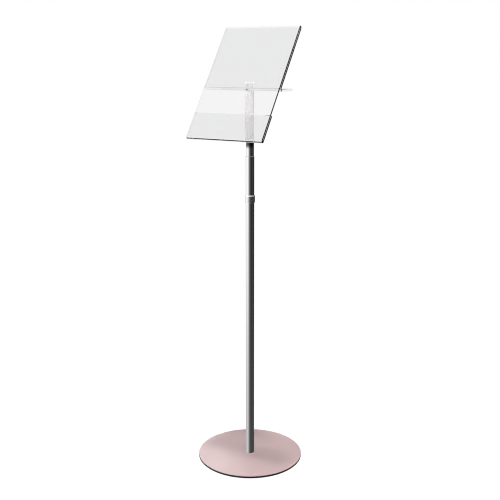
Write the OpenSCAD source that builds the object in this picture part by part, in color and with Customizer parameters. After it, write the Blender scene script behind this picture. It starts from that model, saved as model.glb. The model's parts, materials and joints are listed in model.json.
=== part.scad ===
// Free-standing sign stand: a round weighted foot, a polished pole that telescopes and
// turns, a quarter-turn locking collar, and a folded clear acrylic holder for a portrait
// A4 sheet. Z is up, the sheet faces -Y, and the origin is the centre of the foot on the floor.

/* [Foot] */
// Diameter of the foot
foot_d = 280; // [240:5:320]
// Height of the whole foot
foot_h = 6; // [5:0.5:10]
// Thickness of the coloured top disc
cover_t = 0.8; // [0.6:0.1:1.2]
// Thickness of the rubber ring under the rim
floor_ring_t = 1; // [0.8:0.1:1.5]
// Diameter of the countersunk bolt that holds the pole
foot_bolt_d = 8; // [6:1:8]

/* [Pole] */
// Outside diameter of the fixed pole tube
tube_d = 22.2; // [22:0.1:24]
// Wall of the fixed pole tube
tube_wall = 1; // [0.9:0.1:1.2]
// Height of the underside of the locking collar
collar_z = 701.5; // [600:0.5:800]
// Height of the locking collar
collar_h = 19.4; // [18:0.2:24]
// Outside diameter of the locking collar
collar_d = 25.5; // [25.5:0.1:28]
// Height of the top rim of the guide sleeve
sleeve_top = 820.4; // [780:0.2:840]
// Radial play between sliding or turning metal parts
running_gap = 0.05; // [0.03:0.01:0.08]

/* [Telescopic tube] */
// Wall of the inner tube
inner_wall = 1.1; // [1:0.1:1.5]
// Height of the lower end of the inner tube, as shown
inner_low_z = 440; // [400:10:460]
// Height where the inner tube meets the head post, as shown
post_z = 857; // [850:1:880]
// Diameter of the head post and of the clamp cap
post_d = 21.8; // [21:0.1:24]

/* [Sign holder] */
// Width of the acrylic holder
panel_w = 214; // [212:1:230]
// Thickness of the acrylic sheet
sheet_t = 5; // [4:0.5:6]
// Gap between the two layers, which takes the sign
pocket_gap = 0.6; // [0.4:0.1:1]
// Lean of the panel away from the viewer, in degrees
panel_tilt = 35; // [30:1:40]
// Length of the panel above the clamped flange, along the slope
panel_up = 190; // [180:1:200]
// Length of the panel below the clamped flange, along the slope
panel_down = 139; // [130:1:150]
// Distance from the pole's axis forward to the panel's face, level with the flange
panel_reach = 48.5; // [46:0.5:60]
// Length of the rear lip along the slope
lip_len = 74; // [60:1:90]
// Height of the upper face of the flange
flange_top = 988.5; // [980:0.5:1000]
// Distance from the pole's axis back to the flange's edge
flange_back = 24.8; // [20:0.2:40]
// Inside radius of the bend between the rear leg and the flange
bend_r = 1.5; // [1:0.5:3]

/* [Clamp] */
// Diameter of the clamp stud
stud_d = 6; // [5:1:6]
// Height of the clamp cap
cap_h = 10.4; // [8:0.2:14]
// Thickness of the soft washers on both faces of the flange
washer_t = 0.8; // [0.5:0.1:1]

/* [Hidden] */
$fn = 96;

// Foot
foot_r = foot_d / 2;
plate_z = floor_ring_t;
plate_top = foot_h - cover_t;
plate_chamfer = 0.4;
cover_inset = 0.4;
cover_edge = 0.4;
ring_inset = 1;
ring_w = 9;
bolt_clear = 0.4;
bolt_head_d = 2 * foot_bolt_d;
bolt_head_h = (bolt_head_d - foot_bolt_d) / 2;
bolt_head_sink = 0.1;
bolt_head_z = plate_z + bolt_head_sink;
bolt_len = 24;
bolt_hex_d = 5.8;
bolt_hex_depth = 2.4;

// Pole
bore_d = tube_d - 2 * tube_wall;
plug_len = 30;
plug_chamfer = 1;
collar_top = collar_z + collar_h;
lower_tube_top = collar_z + 6;
grip_h = 7;
grip_gap = 0.2;
grip_z = lower_tube_top + grip_gap;
grip_slot = 2;
sleeve_z = grip_z + grip_h + grip_gap;
coupling_wall = 0.6;
coupling_d = tube_d + 2 * coupling_wall;
collar_bore_d = coupling_d + 2 * running_gap;
collar_lip_d = tube_d + 2 * running_gap;
collar_lip_t = 0.9;
collar_play = 0.1;
coupling_z = collar_z + collar_lip_t + collar_play;
coupling_top = collar_top - collar_lip_t - collar_play;
collar_cone_h = 3.2;
collar_cone_r = 11.5;
collar_foot_chamfer = 0.4;
shoe_count = 3;
shoe_w = 5;
shoe_h = 4;
shoe_gap = 0.05;
shoe_z = grip_z + (grip_h - shoe_h) / 2;
rim_ring_h = 0.9;
rim_ring_chamfer = 0.3;

// Telescopic tube and head post
inner_d = bore_d - 2 * running_gap;
inner_bore_d = inner_d - 2 * inner_wall;
bush_head = 16;
bush_spigot = 14;
bush_chamfer = 1;
bush_spigot_d = inner_bore_d - 2 * running_gap;
joiner_half = 30;
cap_plug_len = 24;
flange_z = flange_top - sheet_t;
post_top = flange_z - washer_t;
edge_chamfer = 0.4;

// Clamp
stud_clear = 0.6;
cap_z = flange_top + washer_t;
cap_edge = 1;
stud_low = post_top - 20;
stud_in_cap = 7;
upper_washer_d = post_d - 2;

// Section of the folded sheet: distances up the slope (u) and behind the face (d)
fold_r = sheet_t + pocket_gap / 2;
back_d = 2 * sheet_t + pocket_gap;
front_z = flange_z + sheet_t / 2;
fold_steps = 20;
bend_steps = 14;
bend_z = flange_top + bend_r;
bend_d = back_d + bend_r;
bend_y = -panel_reach + (bend_d + (bend_z - front_z) * sin(panel_tilt)) / cos(panel_tilt);

// A round tube between two heights
module pipe(outer, inner, low, high) {
    translate([0, 0, low])
        difference() {
            cylinder(d = outer, h = high - low);
            translate([0, 0, -1])
                cylinder(d = inner, h = high - low + 2);
        }
}

// A round bar between two heights with a chamfer at each end
module bar(outer, low, high, low_chamfer = 0, high_chamfer = 0) {
    r = outer / 2;
    rotate_extrude()
        polygon([[0, low], [r - low_chamfer, low], [r, low + low_chamfer],
                 [r, high - high_chamfer], [r - high_chamfer, high], [0, high]]);
}

// Foot ----------------------------------------------------------------

// Steel weight, countersunk from below for the pole's bolt
module base_plate() {
    color([0.07, 0.07, 0.075])
        difference() {
            bar(foot_d, plate_z, plate_top, plate_chamfer, 0);
            translate([0, 0, -1])
                cylinder(d = foot_bolt_d + bolt_clear, h = foot_h + 2);
            translate([0, 0, plate_z - 1])
                cylinder(d = bolt_head_d + bolt_clear, h = 1 + bolt_head_sink);
            translate([0, 0, bolt_head_z])
                cylinder(d1 = bolt_head_d + bolt_clear, d2 = foot_bolt_d + bolt_clear,
                         h = bolt_head_h);
        }
}

// Satin rose disc bonded to the weight
module base_cover() {
    r = foot_r - cover_inset;
    color([0.80, 0.66, 0.66])
        rotate_extrude()
            polygon([[(foot_bolt_d + bolt_clear) / 2, plate_top], [r, plate_top],
                     [r, foot_h - cover_edge], [r - cover_edge, foot_h],
                     [(foot_bolt_d + bolt_clear) / 2, foot_h]]);
}

// Rubber ring that the foot rests on
module floor_ring() {
    color([0.05, 0.05, 0.05])
        pipe(foot_d - 2 * ring_inset, foot_d - 2 * (ring_inset + ring_w), 0, floor_ring_t);
}

// Countersunk bolt, put in from below
module foot_bolt() {
    color([0.35, 0.35, 0.37])
        difference() {
            union() {
                translate([0, 0, bolt_head_z])
                    cylinder(d1 = bolt_head_d, d2 = foot_bolt_d, h = bolt_head_h);
                translate([0, 0, bolt_head_z + bolt_head_h])
                    cylinder(d = foot_bolt_d, h = bolt_len - bolt_head_h);
            }
            translate([0, 0, bolt_head_z - 1])
                cylinder(d = bolt_hex_d, h = bolt_hex_depth + 1, $fn = 6);
        }
}

// Tapped plug fixed in the lower end of the pole
module foot_plug() {
    color([0.70, 0.70, 0.72])
        difference() {
            bar(bore_d, foot_h, foot_h + plug_len, 0, plug_chamfer);
            translate([0, 0, foot_h - 1])
                cylinder(d = foot_bolt_d, h = plug_len + 2);
        }
}

// Fixed pole ----------------------------------------------------------

module lower_tube() {
    color([0.78, 0.78, 0.80])
        pipe(tube_d, bore_d, foot_h, lower_tube_top);
}

// Thin sleeve that joins the two tube ends, with a window for each lock shoe
module coupling_sleeve() {
    color([0.55, 0.55, 0.57])
        difference() {
            pipe(coupling_d, tube_d, coupling_z, coupling_top);
            for (i = [0 : shoe_count - 1])
                rotate([0, 0, i * 360 / shoe_count])
                    translate([tube_d / 4, -shoe_w / 2 - shoe_gap, shoe_z - shoe_gap])
                        cube([tube_d / 2, shoe_w + 2 * shoe_gap, shoe_h + 2 * shoe_gap]);
        }
}

// Split ring that grips the inner tube
module grip_ring() {
    color([0.90, 0.90, 0.86])
        difference() {
            pipe(tube_d, bore_d, grip_z, grip_z + grip_h);
            rotate([0, 0, 60])
                translate([0, -grip_slot / 2, grip_z - 1])
                    cube([tube_d, grip_slot, grip_h + 2]);
        }
}

// Shoes that the collar presses against the grip ring
module lock_shoes() {
    color([0.30, 0.30, 0.32])
        for (i = [0 : shoe_count - 1])
            intersection() {
                pipe(coupling_d, tube_d, shoe_z, shoe_z + shoe_h);
                rotate([0, 0, i * 360 / shoe_count])
                    translate([tube_d / 4, -shoe_w / 2, shoe_z])
                        cube([tube_d / 2, shoe_w, shoe_h]);
            }
}

// Upper part of the fixed pole, which guides the inner tube
module guide_sleeve() {
    color([0.78, 0.78, 0.80])
        pipe(tube_d, bore_d, sleeve_z, sleeve_top - rim_ring_h);
}

// Light ring on the top rim of the guide sleeve
module rim_ring() {
    r = tube_d / 2;
    color([0.86, 0.86, 0.86])
        rotate_extrude()
            polygon([[bore_d / 2, sleeve_top - rim_ring_h], [r, sleeve_top - rim_ring_h],
                     [r, sleeve_top - rim_ring_chamfer], [r - rim_ring_chamfer, sleeve_top],
                     [bore_d / 2, sleeve_top]]);
}

// Locking collar --------------------------------------------------------

module lock_collar() {
    r = collar_d / 2;
    color([0.80, 0.80, 0.82])
        difference() {
            rotate_extrude()
                polygon([[0, collar_z], [r - collar_foot_chamfer, collar_z],
                         [r, collar_z + collar_foot_chamfer],
                         [r, collar_top - collar_cone_h], [collar_cone_r, collar_top],
                         [0, collar_top]]);
            translate([0, 0, collar_z - 1])
                cylinder(d = collar_bore_d, h = collar_h + 1 - collar_lip_t);
            translate([0, 0, collar_top - collar_lip_t - 1])
                cylinder(d = collar_lip_d, h = collar_lip_t + 2);
        }
}

// Ring pressed into the foot of the collar, which keeps it on the coupling
module collar_end_ring() {
    color([0.60, 0.60, 0.62])
        pipe(collar_bore_d, collar_lip_d, collar_z, collar_z + collar_lip_t);
}

// Sliding and turning parts ---------------------------------------------

// Nylon bush that slides in the pole and carries the inner tube on its spigot
module slide_bush() {
    color([0.88, 0.88, 0.84])
        union() {
            bar(inner_d, inner_low_z - bush_head, inner_low_z, bush_chamfer, 0);
            bar(bush_spigot_d, inner_low_z - 1, inner_low_z + bush_spigot, 0, bush_chamfer);
        }
}

module inner_tube() {
    color([0.78, 0.78, 0.80])
        pipe(inner_d, inner_bore_d, inner_low_z, post_z);
}

// Spigot that joins the inner tube to the head post
module head_joiner() {
    color([0.66, 0.66, 0.68])
        bar(inner_bore_d, post_z - joiner_half, post_z + joiner_half, bush_chamfer, bush_chamfer);
}

module head_post() {
    r = post_d / 2;
    color([0.88, 0.87, 0.87])
        rotate_extrude()
            polygon([[inner_bore_d / 2, post_z], [r - edge_chamfer, post_z],
                     [r, post_z + edge_chamfer], [r, post_top],
                     [inner_bore_d / 2, post_top]]);
}

// Tapped plug in the top of the head post
module head_plug() {
    color([0.66, 0.66, 0.68])
        difference() {
            bar(inner_bore_d, post_top - cap_plug_len, post_top, bush_chamfer, 0);
            translate([0, 0, post_top - cap_plug_len - 1])
                cylinder(d = stud_d, h = cap_plug_len + 2);
        }
}

module lower_washer() {
    color([0.93, 0.93, 0.91])
        pipe(post_d, stud_d + stud_clear, post_top, flange_z);
}

// Point of the sheet's section, u up the slope and d behind the panel's face
function at(u, d) = [
    -panel_reach + u * sin(panel_tilt) + d * cos(panel_tilt),
    front_z + u * cos(panel_tilt) - d * sin(panel_tilt)
];

// Half turn of radius r about the slope position u: way is 1 at the top, -1 at the bottom
function fold(u, r, way) = [
    for (i = [0 : fold_steps])
        let (a = 180 * i / fold_steps)
            at(u + way * r * sin(a), fold_r - r * cos(a))
];

// Arc of radius r about the centre of the flange's bend, from the leg to the flange
function bend(r) = [
    for (i = [0 : bend_steps])
        let (a = 180 - panel_tilt + (90 + panel_tilt) * i / bend_steps)
            [bend_y + r * cos(a), bend_z + r * sin(a)]
];

function backwards(points) = [for (i = [len(points) - 1 : -1 : 0]) points[i]];

// One acrylic sheet folded from flange to leg, over the top, down the front and up the lip
module sign_holder() {
    top_u = panel_up - fold_r;
    low_u = fold_r - panel_down;
    lip_u = lip_len - panel_down;
    color([0.90, 0.93, 0.94, 0.45])
        difference() {
            rotate([90, 0, 90])
                linear_extrude(height = panel_w, center = true)
                    polygon(concat(
                        [[flange_back, flange_z]],
                        backwards(bend(bend_r + sheet_t)),
                        backwards(fold(top_u, pocket_gap / 2, 1)),
                        fold(low_u, pocket_gap / 2, -1),
                        [at(lip_u, sheet_t + pocket_gap), at(lip_u, back_d)],
                        backwards(fold(low_u, fold_r, -1)),
                        fold(top_u, fold_r, 1),
                        bend(bend_r),
                        [[flange_back, flange_top]]));
            translate([0, 0, flange_z - 1])
                cylinder(d = stud_d + stud_clear, h = sheet_t + 2);
        }
}

module upper_washer() {
    color([0.93, 0.93, 0.91])
        pipe(upper_washer_d, stud_d + stud_clear, flange_top, cap_z);
}

// Round cap screwed down on the stud
module clamp_cap() {
    color([0.88, 0.87, 0.87])
        difference() {
            bar(post_d, cap_z, cap_z + cap_h, 0, cap_edge);
            translate([0, 0, cap_z - 1])
                cylinder(d = stud_d, h = stud_in_cap + 1);
        }
}

module clamp_stud() {
    color([0.16, 0.16, 0.17])
        translate([0, 0, stud_low])
            cylinder(d = stud_d, h = cap_z + stud_in_cap - stud_low);
}

base_plate();
base_cover();
floor_ring();
foot_bolt();
foot_plug();
lower_tube();
coupling_sleeve();
grip_ring();
lock_shoes();
guide_sleeve();
rim_ring();
lock_collar();
collar_end_ring();
slide_bush();
inner_tube();
head_joiner();
head_post();
head_plug();
lower_washer();
sign_holder();
upper_washer();
clamp_cap();
clamp_stud();
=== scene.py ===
import json
import math

import bmesh
import bpy
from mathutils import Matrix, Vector


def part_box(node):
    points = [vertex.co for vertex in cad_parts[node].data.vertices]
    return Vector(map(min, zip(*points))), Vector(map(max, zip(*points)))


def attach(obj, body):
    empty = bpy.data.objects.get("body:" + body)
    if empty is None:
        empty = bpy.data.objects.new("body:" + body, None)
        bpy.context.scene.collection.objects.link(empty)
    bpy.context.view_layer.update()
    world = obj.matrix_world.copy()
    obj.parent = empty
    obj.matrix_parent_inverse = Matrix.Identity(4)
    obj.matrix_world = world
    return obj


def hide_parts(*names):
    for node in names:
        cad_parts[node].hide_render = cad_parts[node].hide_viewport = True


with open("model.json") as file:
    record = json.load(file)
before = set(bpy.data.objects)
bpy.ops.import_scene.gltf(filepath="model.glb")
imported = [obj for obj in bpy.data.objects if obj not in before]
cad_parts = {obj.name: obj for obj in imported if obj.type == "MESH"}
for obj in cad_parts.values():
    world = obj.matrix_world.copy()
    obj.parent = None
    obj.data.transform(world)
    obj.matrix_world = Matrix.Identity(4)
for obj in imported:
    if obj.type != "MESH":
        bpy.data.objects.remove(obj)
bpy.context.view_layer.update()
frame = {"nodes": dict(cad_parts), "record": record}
cadNodes = frame["nodes"]
mm = 0.001
print("frame loaded with", len(cadNodes), "nodes")


# One output socket of a node graph, with arithmetic that adds Math nodes
class Wire:
    def __init__(self, graph, socket):
        self.graph = graph
        self.socket = socket

    def calc(self, operation, first, second):
        return self.graph.node("ShaderNodeMath", {"operation": operation}, {0: first, 1: second})

    def __add__(self, other):
        return self.calc("ADD", self, other)

    def __sub__(self, other):
        return self.calc("SUBTRACT", self, other)

    def __rsub__(self, other):
        return self.calc("SUBTRACT", other, self)

    def __mul__(self, other):
        return self.calc("MULTIPLY", self, other)

    def __rmul__(self, other):
        return self.calc("MULTIPLY", other, self)

    def __truediv__(self, other):
        return self.calc("DIVIDE", self, other)

    def __pow__(self, other):
        return self.calc("POWER", self, other)

    def __abs__(self):
        return self.calc("ABSOLUTE", self, 0.0)

    def above(self, other):
        return self.calc("GREATER_THAN", self, other)

    def below(self, other):
        return self.calc("LESS_THAN", self, other)


# A node tree that nodes are added to by type, settings and socket values
class Graph:
    def __init__(self, tree):
        self.tree = tree

    def node(self, kind, settings=None, values=None, out=0):
        made = self.tree.nodes.new(kind)
        for key, value in (settings or {}).items():
            if key == "stops":
                self.setStops(made.color_ramp, value)
            else:
                setattr(made, key, value)
        for key, value in (values or {}).items():
            if isinstance(value, Wire):
                self.tree.links.new(value.socket, made.inputs[key])
            else:
                made.inputs[key].default_value = value
        return Wire(self, made.outputs[out]) if made.outputs else made

    def setStops(self, ramp, stops):
        while len(ramp.elements) < len(stops):
            ramp.elements.new(0.5)
        for element, (place, shade) in zip(ramp.elements, stops):
            element.position = place
            element.color = (shade, shade, shade, 1.0)

    def axes(self, vector):
        split = self.node("ShaderNodeSeparateXYZ", None, {0: vector})
        return [Wire(self, socket) for socket in split.socket.node.outputs]

    def join(self, wire, node, socket):
        self.tree.links.new(wire.socket, node.inputs[socket])


# A material's graph, with the few building blocks that every finish uses
class Finish(Graph):
    def __init__(self, name):
        self.material = bpy.data.materials.new(name)
        self.material.use_nodes = True
        super().__init__(self.material.node_tree)
        self.tree.nodes.clear()

    def place(self, scale=(1.0, 1.0, 1.0)):
        here = self.node("ShaderNodeTexCoord", out="Object")
        return self.node("ShaderNodeMapping", None, {"Vector": here, "Scale": scale})

    def noise(self, vector, scale, detail=3.0, roughness=0.5):
        return self.node("ShaderNodeTexNoise", None, {
            "Vector": vector, "Scale": scale, "Detail": detail, "Roughness": roughness})

    def between(self, wire, low, high):
        return self.node("ShaderNodeMapRange", None, {
            "Value": wire, "From Min": 0.25, "From Max": 0.75, "To Min": low, "To Max": high})

    def blend(self, factor, first, second):
        return self.node("ShaderNodeMix", {"data_type": "RGBA"}, {
            "Factor": factor, 6: (*first, 1.0), 7: (*second, 1.0)}, out=2)

    def ramp(self, wire, ends, shape):
        return self.node("ShaderNodeMapRange", {"interpolation_type": shape}, {
            "Value": wire, "From Min": ends[0], "From Max": ends[1], "To Min": ends[2], "To Max": ends[3]})

    def bump(self, height, strength, distance):
        return self.node("ShaderNodeBump", None, {
            "Height": height, "Strength": strength, "Distance": distance})

    def surface(self, **values):
        named = {key.replace("_", " "): value for key, value in values.items()}
        shader = self.node("ShaderNodeBsdfPrincipled", None, named)
        self.node("ShaderNodeOutputMaterial", None, {"Surface": shader})
        return self.material


# Camera, where the reader's eye stands: to the reader's right and a little above the panel's middle
cameraSetup = {
    "azimuth": 30.9,  # degrees round from the front, towards +X
    "distance": 2.073,  # metres from the pole's axis
    "height": 1.056,
    "aimHeight": 0.576,  # the point on the pole's axis in the middle of the view
    "lens": 58.9,
}


def makeCamera(setup):
    turn = math.radians(setup["azimuth"])
    spot = Vector((math.sin(turn), -math.cos(turn), 0)) * setup["distance"]
    spot.z = setup["height"]
    aim = Vector((0, 0, setup["aimHeight"]))
    lensData = bpy.data.cameras.new("readerCamera")
    lensData.lens = setup["lens"]
    lensData.sensor_width = 36
    camera = bpy.data.objects.new("readerCamera", lensData)
    camera.location = spot
    camera.rotation_mode = "QUATERNION"
    camera.rotation_quaternion = (aim - spot).to_track_quat("-Z", "Y")
    bpy.context.scene.collection.objects.link(camera)
    bpy.context.scene.camera = camera


makeCamera(cameraSetup)
print("camera ready")


# Studio: pale floor, even white surroundings, an overhead softbox and a reflector tent
studioSetup = {
    "floorRadius": 7.4,
    "floorShade": 0.88,
    "floorGlow": 1.05,  # the lens sees the floor evenly white, also through the acrylic
    "surroundLight": 1.0,
    "softFill": 0.25,  # share of the surroundings' light that matt surfaces take
    "softboxPower": 318.0,
    "softboxSize": 0.30,
    "softboxPlace": (0.05, -0.77, 7.0),
    "headFill": 0.5,  # each of the shadowless suns round the post
    "headFillCount": 6,
    "discSheen": {  # a lamp behind the stand that only the disc's gloss sees
        "place": (-0.96, 1.34, 0.945), "aim": (-0.03, -0.23, 0.0),
        "power": 42.0, "reach": 0.17, "matt": False},
    "discBack": {  # a lamp above the far edge that only the disc's matt colour sees
        "place": (0.1, 0.5, 1.2), "aim": (0.05, 0.17, 0.0),
        "power": 24.0, "reach": 0.12, "matt": True},
    "lampRadius": 0.03,
    "tentRadius": 2.6,
    "tentLow": -6.0,
    "tentHigh": 2.4,
    "tentStops": [  # brightness by share of a turn: 0 behind the stand, 0.5 in front, more towards +X
        (0.0, 0.03), (0.06, 0.20), (0.13, 0.42), (0.20, 0.66), (0.26, 0.97), (0.31, 1.0), (0.41, 1.0),
        (0.485, 0.57), (0.53, 0.25), (0.565, 0.10), (0.635, 0.045), (0.71, 0.02), (0.80, 0.045),
        (0.92, 0.018), (0.98, 0.02)],
    "tentFade": (-1.3, 0.6, 0.64, 1.17),  # from one height to another, from one brightness to another
    "tentSky": (1.0, 1.6, 0.0, 0.28),
    "tentHaze": (-1.3, 0.3, 0.05, 0.0),
    "lightPathBounces": 20,  # the folded sheet guides light along itself
}


def meshObject(name, vertices, faces, materials):
    mesh = bpy.data.meshes.new(name)
    mesh.from_pydata(vertices, [], faces)
    for material in materials:
        mesh.materials.append(material)
    made = bpy.data.objects.new(name, mesh)
    bpy.context.scene.collection.objects.link(made)
    return made


def pointAt(made, direction):
    made.rotation_mode = "QUATERNION"
    made.rotation_quaternion = Vector(direction).to_track_quat("-Z", "Y")


def sunLight(name, strength, direction):
    lightData = bpy.data.lights.new(name, "SUN")
    lightData.energy = strength
    lightData.angle = math.radians(20)
    lightData.use_shadow = False
    made = bpy.data.objects.new(name, lightData)
    pointAt(made, direction)
    bpy.context.scene.collection.objects.link(made)
    return made


def discLamp(name, lamp):
    lightData = bpy.data.lights.new(name, "SPOT")
    lightData.energy = lamp["power"]
    throw = Vector(lamp["aim"]) - Vector(lamp["place"])
    lightData.spot_size = 2 * math.atan(lamp["reach"] / throw.length)
    lightData.spot_blend = 1.0
    lightData.shadow_soft_size = studioSetup["lampRadius"]
    lightData.use_shadow = False
    made = bpy.data.objects.new(name, lightData)
    made.location = lamp["place"]
    pointAt(made, throw)
    made.visible_diffuse = lamp["matt"]
    made.visible_glossy = not lamp["matt"]
    bpy.context.scene.collection.objects.link(made)
    return made


def lightOnly(light, receivers):
    light.light_linking.receiver_collection = groupOf(light.name + "Receivers", receivers)


def groupOf(name, members):
    group = bpy.data.collections.new(name)
    for member in members:
        group.objects.link(member)
    return group


def makeFloor(setup):
    finish = Finish("paleFloor")
    cloud = finish.noise(finish.place(), 3.0)
    shade = setup["floorShade"]
    tone = finish.blend(cloud, (shade, shade, shade), (shade - 0.01, shade - 0.01, shade - 0.01))
    paint = finish.node("ShaderNodeBsdfDiffuse", None, {"Color": tone})
    glow = finish.node("ShaderNodeEmission", None, {"Strength": setup["floorGlow"]})
    lens = finish.node("ShaderNodeLightPath", out="Is Camera Ray")
    through = finish.node("ShaderNodeLightPath", out="Is Transmission Ray")
    both = finish.node("ShaderNodeMixShader", None, {0: lens + through, 1: paint, 2: glow})
    finish.node("ShaderNodeOutputMaterial", None, {"Surface": both})
    material = finish.material
    reach, steps = setup["floorRadius"], 128
    rim = [(reach * math.cos(2 * math.pi * i / steps), reach * math.sin(2 * math.pi * i / steps), 0)
           for i in range(steps)]
    floor = meshObject("studioFloor", rim, [tuple(range(steps))], [material])
    floor.location.z = -0.2 * mm  # just under the rubber ring
    floor.visible_glossy = False


def makeSurround(setup):
    world = bpy.data.worlds.new("whiteSurround")
    world.use_nodes = True
    world.cycles.sampling_method = "NONE"
    graph = Graph(world.node_tree)
    background = world.node_tree.nodes["Background"]
    background.inputs["Color"].default_value = (1, 1, 1, 1)
    matt = graph.node("ShaderNodeLightPath", out="Is Diffuse Ray")
    light = setup["surroundLight"] * (1.0 - matt * (1.0 - setup["softFill"]))
    graph.join(light, background, "Strength")
    bpy.context.scene.world = world


def makeSoftbox(setup):
    lightData = bpy.data.lights.new("overheadSoftbox", "AREA")
    lightData.shape = "SQUARE"
    lightData.size = setup["softboxSize"]
    lightData.energy = setup["softboxPower"]
    softbox = bpy.data.objects.new("overheadSoftbox", lightData)
    softbox.location = setup["softboxPlace"]
    pointAt(softbox, -Vector(setup["softboxPlace"]))
    softbox.visible_camera = False
    bpy.context.scene.collection.objects.link(softbox)
    return softbox


# The tent is seen only in gloss: white cloth on the reader's left, black cloth on the right
def tentFinish(setup):
    finish = Finish("tentCloth")
    x, y, z = finish.axes(finish.node("ShaderNodeTexCoord", out="Object"))
    turn = finish.node("ShaderNodeMath", {"operation": "ARCTAN2"}, {0: x, 1: 0.0 - y})
    share = turn / (2 * math.pi) + 0.5
    cloth = finish.node("ShaderNodeValToRGB", {"stops": setup["tentStops"]}, {"Fac": share})
    fade = finish.ramp(z, setup["tentFade"], "SMOOTHSTEP")
    sky = finish.ramp(z, setup["tentSky"], "SMOOTHSTEP")
    haze = finish.ramp(z, setup["tentHaze"], "LINEAR")
    glow = finish.node("ShaderNodeEmission", None, {"Strength": cloth * fade + sky + haze})
    finish.node("ShaderNodeOutputMaterial", None, {"Surface": glow})
    return finish.material


def makeTent(setup):
    steps = 96
    ring = [(math.cos(2 * math.pi * i / steps), math.sin(2 * math.pi * i / steps)) for i in range(steps)]
    reach = setup["tentRadius"]
    low = [(x * reach, y * reach, setup["tentLow"]) for x, y in ring]
    high = [(x * reach, y * reach, setup["tentHigh"]) for x, y in ring]
    walls = [(i, steps + i, steps + (i + 1) % steps, (i + 1) % steps) for i in range(steps)]
    tent = meshObject("reflectorTent", low + high, walls, [tentFinish(setup)])
    tent.visible_camera = False
    tent.visible_diffuse = False
    tent.visible_transmission = False
    tent.visible_shadow = False
    tent.visible_volume_scatter = False


makeFloor(studioSetup)
makeSurround(studioSetup)
softbox = makeSoftbox(studioSetup)
makeTent(studioSetup)
bpy.context.scene.view_settings.view_transform = "Standard"
for kind in ("max", "glossy", "transmission"):
    setattr(bpy.context.scene.cycles, kind + "_bounces", studioSetup["lightPathBounces"])
bpy.context.scene.cycles.filter_width = 1.1  # crisp thin edges
print("studio ready")


# Finishes
def polishedSteel(name, shade, roughness, shadeTop=None, shadeDepth=None):
    finish = Finish(name)
    lines = finish.noise(finish.place((900.0, 900.0, 9.0)), 1.0, 2.0)
    smears = finish.noise(finish.place((14.0, 14.0, 5.0)), 1.0, 4.0)
    tone = finish.blend(smears, shade, tuple(c * 0.985 for c in shade))
    rough = finish.between(smears, roughness * 0.8, roughness * 1.3) + lines * 0.012
    if shadeTop is not None:
        height = finish.axes(finish.node("ShaderNodeTexCoord", out="Object"))[2]
        # painted shade: the tube darkens to near black towards its top end, standing for the shade under
        # the panel
        paintedShade = finish.ramp(height, (shadeTop - shadeDepth, shadeTop - shadeDepth * 0.4, 0.0, 1.0), "SMOOTHSTEP")
        tone = finish.node("ShaderNodeMix", {"data_type": "RGBA"}, {
            "Factor": paintedShade, 6: tone, 7: (0.09, 0.086, 0.082, 1.0)}, out=2)
    return finish.surface(Base_Color=tone, Metallic=1.0, Roughness=rough,
                          Normal=finish.bump(lines, 0.02, 0.004 * mm))


def roseSatin():
    finish = Finish("roseSatinMetal")
    x, y = finish.axes(finish.node("ShaderNodeTexCoord", out="Object"))[:2]
    reach = (x * x + y * y) ** 0.5
    rings = finish.node("ShaderNodeTexNoise", {"noise_dimensions": "1D"}, {
        "W": reach, "Scale": 2600.0, "Detail": 3.0})
    grain = finish.noise(finish.place(), 2200.0, 2.0)
    cloud = finish.noise(finish.place(), 9.0, 3.0)
    tone = finish.blend(finish.between(cloud, 0.0, 1.0), (0.675, 0.485, 0.49), (0.66, 0.47, 0.475))
    rough = finish.between(rings, 0.46, 0.54) + finish.between(cloud, -0.015, 0.015)
    height = rings * 0.7 + grain * 0.3
    return finish.surface(Base_Color=tone, Roughness=rough, Specular_IOR_Level=0.3,
                          Sheen_Weight=0.5, Sheen_Roughness=0.5,
                          Normal=finish.bump(height, 0.12, 0.02 * mm))


def blackPaint():
    finish = Finish("blackEdgePaint")
    peel = finish.noise(finish.place(), 900.0, 2.0)
    scuffs = finish.noise(finish.place((60.0, 60.0, 400.0)), 1.0, 5.0, 0.6)
    tone = finish.blend(finish.between(scuffs, 0.0, 1.0), (0.010, 0.010, 0.011), (0.018, 0.018, 0.019))
    return finish.surface(Base_Color=tone, Roughness=finish.between(scuffs, 0.38, 0.52),
                          Normal=finish.bump(peel, 0.15, 0.03 * mm))


def blackRubber():
    finish = Finish("floorRubber")
    pores = finish.noise(finish.place(), 1500.0, 4.0)
    tone = finish.blend(pores, (0.016, 0.016, 0.016), (0.028, 0.028, 0.028))
    return finish.surface(Base_Color=tone, Roughness=finish.between(pores, 0.7, 0.85),
                          Normal=finish.bump(pores, 0.3, 0.05 * mm))


def satinPost(name, shade):
    finish = Finish(name)
    blast = finish.noise(finish.place(), 2600.0, 2.0)
    cloud = finish.noise(finish.place(), 25.0, 3.0)
    tone = finish.blend(finish.between(cloud, 0.0, 1.0), shade, tuple(c * 0.97 for c in shade))
    return finish.surface(Base_Color=tone, Roughness=finish.between(blast, 0.40, 0.50),
                          Specular_IOR_Level=0.2, Normal=finish.bump(blast, 0.12, 0.02 * mm))


def naturalNylon():
    finish = Finish("naturalNylon")
    grain = finish.noise(finish.place(), 1200.0, 3.0)
    tone = finish.blend(grain, (0.80, 0.80, 0.76), (0.74, 0.74, 0.70))
    return finish.surface(Base_Color=tone, Roughness=finish.between(grain, 0.45, 0.6),
                          Normal=finish.bump(grain, 0.1, 0.02 * mm))


def turnedMetal(name, shade, rough):
    finish = Finish(name)
    lines = finish.noise(finish.place((30.0, 30.0, 3500.0)), 1.0, 2.0)
    tone = finish.blend(lines, shade, tuple(c * 0.85 for c in shade))
    scratched = finish.between(lines, rough, rough + 0.12)
    return finish.surface(Base_Color=tone, Metallic=1.0, Roughness=scratched,
                          Normal=finish.bump(lines, 0.15, 0.01 * mm))


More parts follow.
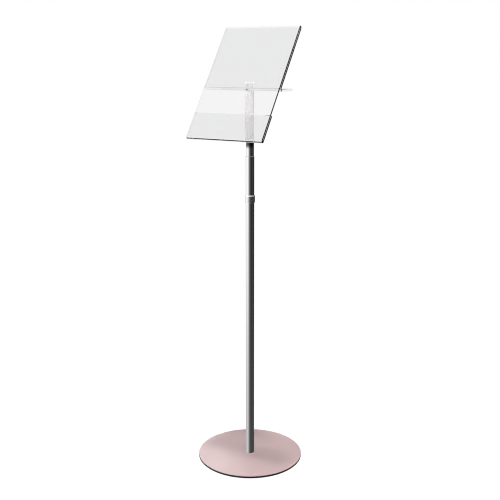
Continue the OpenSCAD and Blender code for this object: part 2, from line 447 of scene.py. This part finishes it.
# Acrylic bends what is seen through it, and lets most of the lamps' light straight through
def clearAcrylic(name, tint, rough, lampShare, bend=1.49):
    finish = Finish(name)
    wipes = finish.noise(finish.place((6.0, 6.0, 3.0)), 1.0, 3.0)
    glass = finish.node("ShaderNodeBsdfPrincipled", None, {
        "Base Color": (*tint, 1.0), "IOR": bend, "Transmission Weight": 1.0,
        "Roughness": finish.between(wipes, rough, rough + 0.01)})
    gate = finish.node("ShaderNodeBsdfTransparent", None, {
        "Color": (lampShare, lampShare, lampShare, 1.0)})
    lamps = finish.node("ShaderNodeLightPath", out="Is Shadow Ray")
    both = finish.node("ShaderNodeMixShader", None, {0: lamps, 1: glass, 2: gate})
    finish.node("ShaderNodeOutputMaterial", None, {"Surface": both})
    return finish.material


finishes = {
    "polished": polishedSteel("polishedSteel", (0.82, 0.82, 0.83), 0.06),
    # the neck's top 20 mm below the post carries painted shade from the panel above
    "neck": polishedSteel("greasedSteel", (0.82, 0.82, 0.83), 0.06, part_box("head_post")[0].z, 20 * mm),
    "collar": polishedSteel("collarSteel", (0.84, 0.84, 0.85), 0.21),
    "rose": roseSatin(),
    "paint": blackPaint(),
    "rubber": blackRubber(),
    "post": satinPost("lightSatinPost", (0.79, 0.77, 0.77)),
    "cap": satinPost("lightSatinCap", (0.97, 0.955, 0.955)),
    "nylon": naturalNylon(),
    "zinc": turnedMetal("zincSteel", (0.50, 0.50, 0.52), 0.3),
    "aluminium": turnedMetal("turnedAluminium", (0.72, 0.72, 0.74), 0.28),
    "dark": turnedMetal("blackenedSteel", (0.03, 0.03, 0.033), 0.45),
    "rim": turnedMetal("rimSatin", (0.62, 0.62, 0.62), 0.12),
    "acrylic": clearAcrylic("clearAcrylic", (0.898, 0.899, 0.90), 0.0, 0.87),
    # near-black tint on the sawn sides is painted shade for how clear acrylic looks dark edge-on
    "acrylicEdge": clearAcrylic("acrylicEdge", (0.03, 0.031, 0.032), 0.08, 0.3),
    "flangeEdge": clearAcrylic("flangeEdge", (0.898, 0.899, 0.90), 0.0, 0.87, 1.04),
}
print("finishes ready:", len(finishes))


# Turned pieces: a rounded section swept round the pole's axis
def roundCorners(points, radius, steps=4):
    made = []
    for i, (px, pz) in enumerate(points):
        here = Vector((px, pz))
        before = (Vector(points[i - 1]) - here)
        after = (Vector(points[(i + 1) % len(points)]) - here)
        cut = min(radius, before.length * 0.45, after.length * 0.45)
        if px < 1e-9 or cut <= 0:
            made.append((px, pz))
            continue
        start, end = here + before.normalized() * cut, here + after.normalized() * cut
        for k in range(steps + 1):
            t = k / steps
            spot = start.lerp(here, t).lerp(here.lerp(end, t), t)
            made.append((spot.x, spot.y))
    return made


def bakeMesh(made):
    graph = bpy.context.evaluated_depsgraph_get()
    graph.update()
    mesh = bpy.data.meshes.new_from_object(made.evaluated_get(graph))
    made.modifiers.clear()
    old = made.data
    made.data = mesh
    if isinstance(old, bpy.types.Mesh):
        bpy.data.meshes.remove(old)
    made.data.name = made.name
    return made


def crispNormals(made):
    made.data.shade_smooth()
    made.data.set_sharp_from_angle(angle=math.radians(50))
    weigh = made.modifiers.new("evenFaces", "WEIGHTED_NORMAL")
    weigh.keep_sharp = True
    weigh.weight = 100
    return bakeMesh(made)


def turned(name, section, material, edge=0.25 * mm, steps=144):
    outline = roundCorners(section, edge)
    shell = bmesh.new()
    rings = []
    for r, z in outline:
        if r < 1e-9:
            rings.append([shell.verts.new((0, 0, z))])
            continue
        rings.append([shell.verts.new((r * math.cos(2 * math.pi * k / steps),
                                       r * math.sin(2 * math.pi * k / steps), z)) for k in range(steps)])
    for a, b in zip(rings, rings[1:] + rings[:1]):
        if len(a) == 1 and len(b) == 1:
            continue
        for k in range(steps):
            m = (k + 1) % steps
            corner = [a[k % len(a)], a[m % len(a)], b[m % len(b)], b[k % len(b)]]
            shell.faces.new(list(dict.fromkeys(corner)))
    bmesh.ops.remove_doubles(shell, verts=shell.verts, dist=1e-7)
    bmesh.ops.recalc_face_normals(shell, faces=shell.faces)
    mesh = bpy.data.meshes.new(name)
    shell.to_mesh(mesh)
    shell.free()
    mesh.materials.append(material)
    made = bpy.data.objects.new(name, mesh)
    bpy.context.scene.collection.objects.link(made)
    return crispNormals(made)


def nodeSpan(node):
    low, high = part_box(node)
    return (high.x - low.x) / 2, low.z, high.z


def bodyOf(node):
    return next(body for body, members in frame["record"]["behaviour"]["bodies"].items() if node in members)


def standFor(piece, node):
    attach(piece, bodyOf(node))
    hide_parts(node)
    return piece


# A wall between an inner and an outer radius, from low to high
def wall(outer, inner, low, high):
    return [(inner, low), (outer, low), (outer, high), (inner, high)]


tubeSizes = {
    "tubeWall": 1.0 * mm,
    "innerWall": 1.1 * mm,
    "rimRounding": 0.3 * mm,
}


def makePole(sizes):
    outer, low, high = nodeSpan("lower_tube")
    bore = outer - sizes["tubeWall"]
    standFor(turned("lowerTube", wall(outer, bore, low, high), finishes["polished"]), "lower_tube")
    outer, low, high = nodeSpan("guide_sleeve")
    standFor(turned("guideSleeve", wall(outer, bore, low, high), finishes["polished"]), "guide_sleeve")
    outer, low, high = nodeSpan("rim_ring")
    standFor(turned("rimRing", wall(outer, bore, low, high), finishes["rim"],
                    sizes["rimRounding"]), "rim_ring")
    outer, low, high = nodeSpan("inner_tube")
    standFor(turned("innerTube", wall(outer, outer - sizes["innerWall"], low, high),
                    finishes["neck"]), "inner_tube")


collarSizes = {
    "wallPlay": 0.05 * mm,
    "couplingWall": 0.6 * mm,
    "lipThickness": 0.9 * mm,
    "coneHeight": 3.2 * mm,
    "coneTopRadius": 11.5 * mm,
    "footRounding": 0.4 * mm,
}


def makeCollar(sizes):
    tubeRadius = nodeSpan("lower_tube")[0]
    outer, low, high = nodeSpan("lock_collar")
    lip = tubeRadius + sizes["wallPlay"]
    bore = tubeRadius + sizes["couplingWall"] + sizes["wallPlay"]
    section = [
        (bore, low), (outer - sizes["footRounding"], low), (outer, low + sizes["footRounding"]),
        (outer, high - sizes["coneHeight"]), (sizes["coneTopRadius"], high), (lip, high),
        (lip, high - sizes["lipThickness"]), (bore, high - sizes["lipThickness"])]
    standFor(turned("lockCollar", section, finishes["collar"], 0.15 * mm), "lock_collar")
    ringOuter, ringLow, ringHigh = nodeSpan("collar_end_ring")
    standFor(turned("collarEndRing", wall(ringOuter, lip, ringLow, ringHigh),
                    finishes["collar"], 0.1 * mm), "collar_end_ring")


headSizes = {"postBore": 8.95 * mm, "washerBore": 3.3 * mm, "studBore": 3.0 * mm,
             "capRounding": 1.0 * mm, "capBoreDepth": 7.0 * mm}


def makeHead(sizes):
    outer, low, high = nodeSpan("head_post")
    post = standFor(turned("headPost", wall(outer, sizes["postBore"], low, high), finishes["post"],
                           0.4 * mm), "head_post")
    for node, name in (("lower_washer", "lowerWasher"), ("upper_washer", "upperWasher")):
        outer, low, high = nodeSpan(node)
        section = wall(outer, sizes["washerBore"], low, high)
        standFor(turned(name, section, finishes["nylon"], 0.2 * mm), node)
    outer, low, high = nodeSpan("clamp_cap")
    roof = low + sizes["capBoreDepth"]
    shoulder = sizes["capRounding"]
    arc = [(outer - shoulder + shoulder * math.cos(math.radians(a)),
            high - shoulder + shoulder * math.sin(math.radians(a))) for a in range(0, 91, 15)]
    hollow = [(0, roof), (sizes["studBore"], roof), (sizes["studBore"], low), (outer, low)]
    section = hollow + arc + [(0, high)]
    cap = standFor(turned("clampCap", section, finishes["cap"], 0.05 * mm), "clamp_cap")
    for i in range(studioSetup["headFillCount"]):
        turn = 2 * math.pi * i / studioSetup["headFillCount"]
        slant = (math.cos(turn), math.sin(turn), -0.3)
        fill = sunLight("headFill%d" % (i + 1), studioSetup["headFill"], slant)
        lightOnly(fill, [post, cap])


footSizes = {
    "boltHole": 4.2 * mm,
    "boltHeadHole": 8.2 * mm,
    "headSink": 0.1 * mm,
    "headDepth": 4.0 * mm,
    "edgeRounding": 0.35 * mm,
    "ringWidth": 9.0 * mm,
}


def makeFoot(sizes):
    outer, low, high = nodeSpan("base_plate")
    hole, headHole, sink = sizes["boltHole"], sizes["boltHeadHole"], sizes["headSink"]
    section = [(headHole, low), (outer, low), (outer, high), (hole, high),
               (hole, low + sink + sizes["headDepth"]), (headHole, low + sink)]
    plate = standFor(turned("basePlate", section, finishes["paint"], 0.3 * mm, 256), "base_plate")
    outer, low, high = nodeSpan("base_cover")
    cover = standFor(turned("baseCover", wall(outer, hole, low, high), finishes["rose"],
                            sizes["edgeRounding"], 256), "base_cover")
    for name in ("discSheen", "discBack"):
        lightOnly(discLamp(name, studioSetup[name]), [cover])
    outer, low, high = nodeSpan("floor_ring")
    ring = standFor(turned("floorRing", wall(outer, outer - sizes["ringWidth"], low, high),
                           finishes["rubber"], 0.2 * mm, 256), "floor_ring")
    for piece in (plate, cover, ring):
        piece.visible_glossy = False  # the pole mirrors the tent's cloth down to its foot


makePole(tubeSizes)
makeCollar(collarSizes)
makeHead(headSizes)
makeFoot(footSizes)
print("turned pieces ready")


# Folded acrylic holder: a corner path with a bend radius at each corner, swept by the sheet's section.
# Its sawn sides, except on the flange, and the wall of the stud's hole take a near-black tint: painted
# shade for the darkness clear acrylic shows edge-on.
holderSizes = {
    "thickness": 5.0 * mm,
    "pocketGap": 0.6 * mm,
    "tilt": 35.0,
    "lipLength": 74.0 * mm,
    "flangeBend": 1.5 * mm,  # inside radius
    "edgeRounding": 0.22 * mm,
    "holeRadius": 3.3 * mm,
    "bendSteps": 14,
    "flangeStart": -30.0 * mm,  # the sawn sides behind this line belong to the flange
}


def holderPath(sizes):
    low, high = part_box("sign_holder")
    half = sizes["thickness"] / 2
    fold = sizes["thickness"] + sizes["pocketGap"] / 2
    lean = math.radians(sizes["tilt"])
    up = Vector((0, math.sin(lean), math.cos(lean)))
    back = Vector((0, math.cos(lean), -math.sin(lean)))
    topFold = Vector((0, high.y - fold, high.z - fold))  # centres of the two folds
    lowFold = Vector((0, low.y + fold, low.z + fold))
    middle = half + sizes["pocketGap"] / 2  # from a fold's centre to the middle of each layer
    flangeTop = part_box("upper_washer")[0].z
    flangeHeight = flangeTop - half
    flangeEnd = max(v.co.y for v in cadNodes["sign_holder"].data.vertices if abs(v.co.z - flangeTop) < 1e-5)
    legLine = topFold + back * middle
    legDrop = (flangeHeight - legLine.z) / up.z
    return [
        (Vector((0, flangeEnd, flangeHeight)), 0),
        (legLine + up * legDrop, sizes["flangeBend"] + half),
        (topFold + (back + up) * middle, middle),
        (topFold + (up - back) * middle, middle),
        (lowFold - (back + up) * middle, middle),
        (lowFold + (back - up) * middle, middle),
        (lowFold + back * middle + up * (sizes["lipLength"] - fold), 0)]


def sheetTree(flangeStart):
    tree = bpy.data.node_groups.new("foldedSheet", "GeometryNodeTree")
    made = {}
    face = tree.interface
    face.new_socket(name="Geometry", in_out="OUTPUT", socket_type="NodeSocketGeometry")
    face.new_socket(name="Geometry", in_out="INPUT", socket_type="NodeSocketGeometry")
    for name, kind in (("Panel Width", "Float"), ("Sheet Thickness", "Float"), ("Edge Rounding", "Float"),
                       ("Hole Radius", "Float"), ("Flange Height", "Float"), ("Bend Steps", "Int")):
        made[name] = face.new_socket(name=name, in_out="INPUT", socket_type="NodeSocket" + kind).identifier
    graph = Graph(tree)
    entry = tree.nodes.new("NodeGroupInput")
    given = {s.name: Wire(graph, s) for s in entry.outputs if s.name}
    bendRadius = graph.node("GeometryNodeInputNamedAttribute", {"data_type": "FLOAT"}, {
        "Name": "bendRadius"})
    path = graph.node("GeometryNodeMeshToCurve", None, {"Mesh": given["Geometry"]})
    path = graph.node("GeometryNodeFilletCurve", {"mode": "POLY"}, {
        "Curve": path, "Count": given["Bend Steps"], "Radius": bendRadius})
    path = graph.node("GeometryNodeSetCurveNormal", {"mode": "FREE"}, {
        "Curve": path, "Normal": (1.0, 0.0, 0.0)})
    section = graph.node("GeometryNodeCurvePrimitiveQuadrilateral", None, {
        "Width": given["Panel Width"], "Height": given["Sheet Thickness"]})
    section = graph.node("GeometryNodeFilletCurve", {"mode": "POLY"}, {
        "Curve": section, "Count": 3, "Radius": given["Edge Rounding"]})
    sheet = graph.node("GeometryNodeCurveToMesh", None, {
        "Curve": path, "Profile Curve": section, "Fill Caps": True})
    sheet = graph.node("GeometryNodeMergeByDistance", None, {"Geometry": sheet, "Distance": 1e-6})
    drill = graph.node("GeometryNodeMeshCylinder", None, {
        "Vertices": 64, "Radius": given["Hole Radius"], "Depth": given["Sheet Thickness"] * 3.0})
    spot = graph.node("ShaderNodeCombineXYZ", None, {"Z": given["Flange Height"]})
    drill = graph.node("GeometryNodeTransform", None, {"Geometry": drill, "Translation": spot})
    sheet = graph.node("GeometryNodeMeshBoolean", {"operation": "DIFFERENCE", "solver": "EXACT"}, {
        "Mesh 1": sheet, "Mesh 2": drill})
    sheet = graph.node("GeometryNodeRealizeInstances", None, {"Geometry": sheet})
    sideways = abs(graph.axes(graph.node("GeometryNodeInputNormal"))[0]).above(0.9)
    across, depth, height = graph.axes(graph.node("GeometryNodeInputPosition"))
    fromMiddle = abs(height - given["Flange Height"])
    onFlange = fromMiddle.below(given["Sheet Thickness"] * 0.55) * depth.above(flangeStart)
    nearHole = (across * across + depth * depth).below((given["Hole Radius"] * 1.05) ** 2)
    holeWall = nearHole * fromMiddle.below(given["Sheet Thickness"] * 0.3)
    sheet = graph.node("GeometryNodeSetMaterial", None, {
        "Geometry": sheet, "Material": finishes["acrylic"]})
    sheet = graph.node("GeometryNodeSetMaterial", None, {
        "Geometry": sheet, "Selection": sideways * onFlange, "Material": finishes["flangeEdge"]})
    # painted shade: a near-black tint on the sawn sides off the flange and on the stud hole's wall
    sheet = graph.node("GeometryNodeSetMaterial", None, {
        "Geometry": sheet, "Selection": sideways * (1.0 - onFlange) + holeWall,
        "Material": finishes["acrylicEdge"]})
    leave = tree.nodes.new("NodeGroupOutput")
    graph.join(sheet, leave, 0)
    return tree, made


def makeHolder(sizes):
    corners = holderPath(sizes)
    mesh = bpy.data.meshes.new("signHolder")
    mesh.from_pydata([spot for spot, bend in corners], [(i, i + 1) for i in range(len(corners) - 1)], [])
    bends = mesh.attributes.new("bendRadius", "FLOAT", "POINT")
    for i, (spot, bend) in enumerate(corners):
        bends.data[i].value = bend
    holder = bpy.data.objects.new("signHolder", mesh)
    bpy.context.scene.collection.objects.link(holder)
    low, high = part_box("sign_holder")
    tree, sockets = sheetTree(sizes["flangeStart"])
    fold = holder.modifiers.new("foldSheet", "NODES")
    fold.node_group = tree
    fold[sockets["Panel Width"]] = high.x - low.x
    fold[sockets["Sheet Thickness"]] = sizes["thickness"]
    fold[sockets["Edge Rounding"]] = sizes["edgeRounding"]
    fold[sockets["Hole Radius"]] = sizes["holeRadius"]
    fold[sockets["Flange Height"]] = corners[0][0].z
    fold[sockets["Bend Steps"]] = sizes["bendSteps"]
    bakeMesh(holder)
    crispNormals(holder)
    standFor(holder, "sign_holder")
    return holder


holder = makeHolder(holderSizes)
softbox.light_linking.blocker_collection = groupOf("softboxBlockers", [holder])
print("holder ready:", len(holder.data.polygons), "faces", [round(v, 4) for v in holder.dimensions])

# Inner pieces keep their exact shapes and take a finish
innerFinishes = {
    "foot_bolt": "zinc", "foot_plug": "aluminium", "coupling_sleeve": "zinc", "grip_ring": "nylon",
    "lock_shoes": "zinc", "slide_bush": "nylon", "head_joiner": "aluminium", "head_plug": "aluminium",
    "clamp_stud": "dark"}
for node, finishName in innerFinishes.items():
    slots = cadNodes[node].data.materials
    for i in range(len(slots)):
        slots[i] = finishes[finishName]
print("inner pieces finished")
